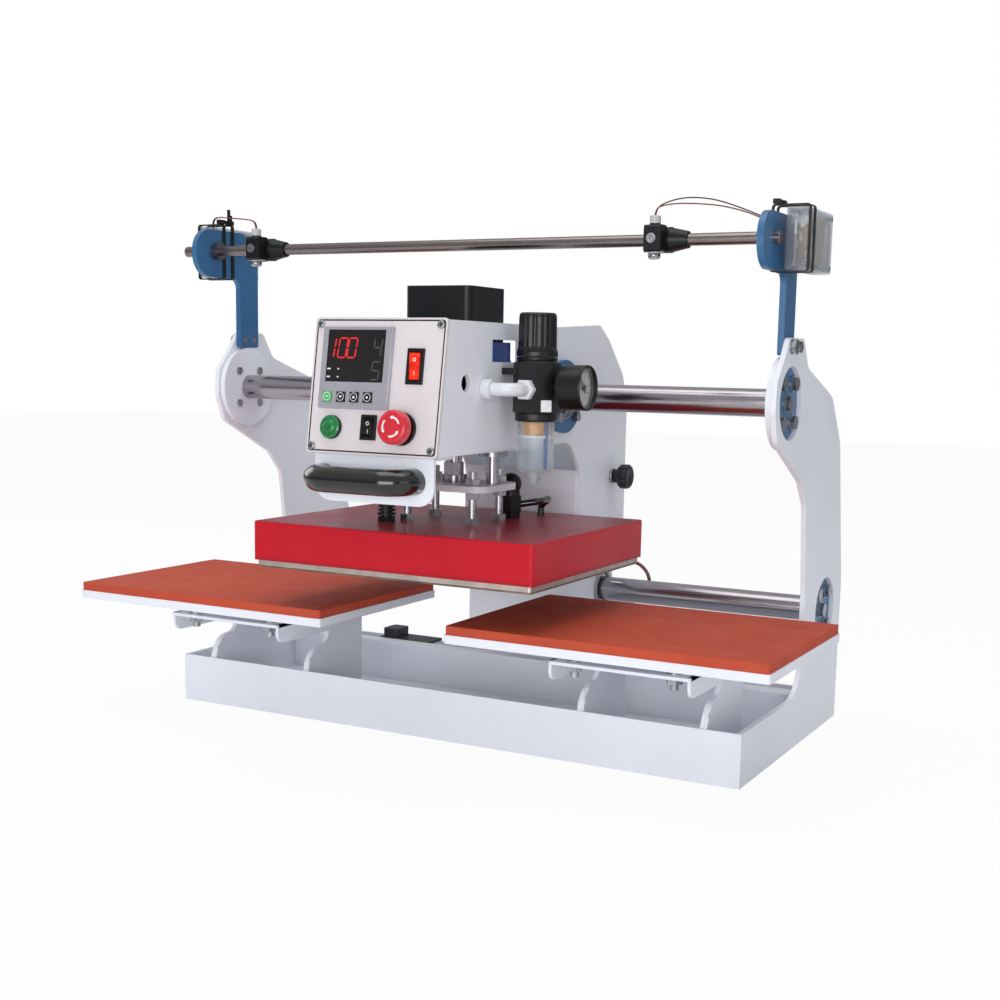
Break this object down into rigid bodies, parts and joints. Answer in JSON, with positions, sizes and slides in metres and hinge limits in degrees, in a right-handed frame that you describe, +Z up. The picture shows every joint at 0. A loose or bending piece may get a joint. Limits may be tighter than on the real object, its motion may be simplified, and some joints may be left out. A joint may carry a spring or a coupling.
{
  "type": "pneumatic heat press",
  "caption": "Two-station pneumatic heat press: heated head on a carriage that slides along chrome rods between padded platens, with control box, air regulator and laser bar",
  "frame": {"origin": "On the bench surface, midway between the two columns and straight under the upper slide rod", "axes": "X along the slide rods to the operator's right, Y away from the operator, Z up"},
  "size_m": [0.741, 0.492, 0.529],
  "materials": {
    "white_powder_coat": "white powder coat, semi-gloss",
    "hard_chrome": "ground and hard-chromed steel",
    "blue_paint": "dark blue paint",
    "zinc_bolt": "zinc plated steel",
    "silicone": "orange red silicone rubber",
    "black_rubber": "black rubber",
    "clear_plastic": "clear plastic",
    "circuit_board": "driver board and cell",
    "black_plastic": "black moulded plastic",
    "black_anodised": "black anodised aluminium",
    "panel_overlay": "light grey printed overlay",
    "key_green": "green key",
    "key_black": "black key",
    "red_lamp": "translucent red rocker",
    "green_lamp": "translucent green cap",
    "red_plastic": "red mushroom head",
    "valve_blue": "blue valve",
    "amber_filter": "amber sintered filter",
    "white_plastic": "white nylon fitting",
    "bearing_steel": "bearing steel",
    "hose_red": "rust red polyurethane tube",
    "wire_red": "insulated wire",
    "red_paint": "red gloss paint",
    "cast_aluminium": "cast aluminium heat plate",
    "glass_cloth": "brown coated glass cloth",
    "mineral_board": "insulation board"
  },
  "bodies": {
    "frame": {"base_tray": "white_powder_coat", "column_left": "white_powder_coat", "column_right": "white_powder_coat", "upper_rod": "hard_chrome", "lower_rod": "hard_chrome", "rod_flanges": "blue_paint", "frame_bolts": "zinc_bolt", "platen_supports": "white_powder_coat", "platens": "white_powder_coat", "silicone_pads": "silicone", "centre_stop": "black_rubber", "laser_posts": "blue_paint", "laser_bar": "hard_chrome", "driver_boxes": "clear_plastic", "driver_boards": "circuit_board", "cable_ties": "black_plastic", "laser_wires": "wire_red"},
    "carriage": {"side_plate_left": "white_powder_coat", "side_plate_right": "white_powder_coat", "head_shell": "white_powder_coat", "lower_box": "white_powder_coat", "bearing_housings": "blue_paint", "linear_bearings": "bearing_steel", "carriage_bolts": "zinc_bolt", "control_panel": "panel_overlay", "controller_case": "black_plastic", "switch_bodies": "black_plastic", "handle": "black_plastic", "cylinder_body": "black_anodised", "solenoid_valve": "valve_blue", "regulator_body": "black_plastic", "filter_element": "amber_filter", "filter_bowl": "clear_plastic", "gauge_case": "black_plastic", "air_elbow": "white_plastic", "rear_fittings": "black_plastic", "air_hose": "hose_red"},
    "press_unit": {"piston_rod": "hard_chrome", "guide_rods": "hard_chrome", "flange_plate": "white_powder_coat", "flange_bolts": "zinc_bolt", "heater_cover": "red_paint", "insulation_board": "mineral_board", "heater_plate": "cast_aluminium", "release_sheet": "glass_cloth", "cable_fittings": "black_plastic", "heater_cable": "black_rubber"},
    "key_1": {"controller_key_1": "key_green"},
    "key_2": {"controller_key_2": "key_black"},
    "key_3": {"controller_key_3": "key_black"},
    "key_4": {"controller_key_4": "key_black"},
    "power_switch": {"power_rocker": "red_lamp"},
    "mode_switch": {"mode_rocker": "black_plastic"},
    "start_push": {"start_button": "green_lamp"},
    "stop_push": {"stop_button": "red_plastic"},
    "pressure_knob": {"regulator_knob": "black_plastic"},
    "needle": {"gauge_needle": "black_plastic"},
    "lock_screw": {"lock_knob": "black_plastic"},
    "laser_left": {"laser_clamp_left": "black_anodised"},
    "laser_right": {"laser_clamp_right": "black_anodised"}
  },
  "joints": [
    {"name": "carriage_travel", "type": "slide", "parent": "frame", "child": "carriage", "axis": [1, 0, 0], "range_m": [-0.234, 0.204]},
    {"name": "press_stroke", "type": "slide", "parent": "carriage", "child": "press_unit", "axis": [0, 0, -1], "range_m": [0, 0.038]},
    {"name": "key_1_travel", "type": "slide", "parent": "carriage", "child": "key_1", "axis": [0, 0.9896, -0.1438], "range_m": [0, 0.0012], "stiffness_N_per_m": 500, "springref_m": -0.0004},
    {"name": "key_2_travel", "type": "slide", "parent": "carriage", "child": "key_2", "axis": [0, 0.9896, -0.1438], "range_m": [0, 0.0012], "stiffness_N_per_m": 500, "springref_m": -0.0004},
    {"name": "key_3_travel", "type": "slide", "parent": "carriage", "child": "key_3", "axis": [0, 0.9896, -0.1438], "range_m": [0, 0.0012], "stiffness_N_per_m": 500, "springref_m": -0.0004},
    {"name": "key_4_travel", "type": "slide", "parent": "carriage", "child": "key_4", "axis": [0, 0.9896, -0.1438], "range_m": [0, 0.0012], "stiffness_N_per_m": 500, "springref_m": -0.0004},
    {"name": "power_rock", "type": "hinge", "parent": "carriage", "child": "power_switch", "pos_m": [0.0545, -0.22589, 0.3656], "axis": [1, 0, 0], "range_deg": [-16, 0]},
    {"name": "mode_rock", "type": "hinge", "parent": "carriage", "child": "mode_switch", "pos_m": [0.012, -0.23366, 0.31216], "axis": [1, 0, 0], "range_deg": [-16, 0]},
    {"name": "start_travel", "type": "slide", "parent": "carriage", "child": "start_push", "axis": [0, 0.9896, -0.1438], "range_m": [0, 0.003], "stiffness_N_per_m": 600, "springref_m": -0.0005},
    {"name": "stop_travel", "type": "slide", "parent": "carriage", "child": "stop_push", "axis": [0, 0.9896, -0.1438], "range_m": [0, 0.005]},
    {"name": "pressure_turn", "type": "hinge", "parent": "carriage", "child": "pressure_knob", "pos_m": [0.112, -0.111, 0.39], "axis": [0, 0, 1], "range_deg": [-360, 360]},
    {"name": "needle_turn", "type": "hinge", "parent": "carriage", "child": "needle", "pos_m": [0.168, -0.111, 0.3495], "axis": [1, 0, 0], "range_deg": [-175, 95]},
    {"name": "lock_turn", "type": "hinge", "parent": "carriage", "child": "lock_screw", "pos_m": [0.09, 0.128, 0.252], "axis": [1, 0, 0], "range_deg": [-180, 180]},
    {"name": "laser_left_travel", "type": "slide", "parent": "frame", "child": "laser_left", "axis": [1, 0, 0], "range_m": [-0.04, 0.2]},
    {"name": "laser_right_travel", "type": "slide", "parent": "frame", "child": "laser_right", "axis": [1, 0, 0], "range_m": [-0.2, 0.06]}
  ]
}
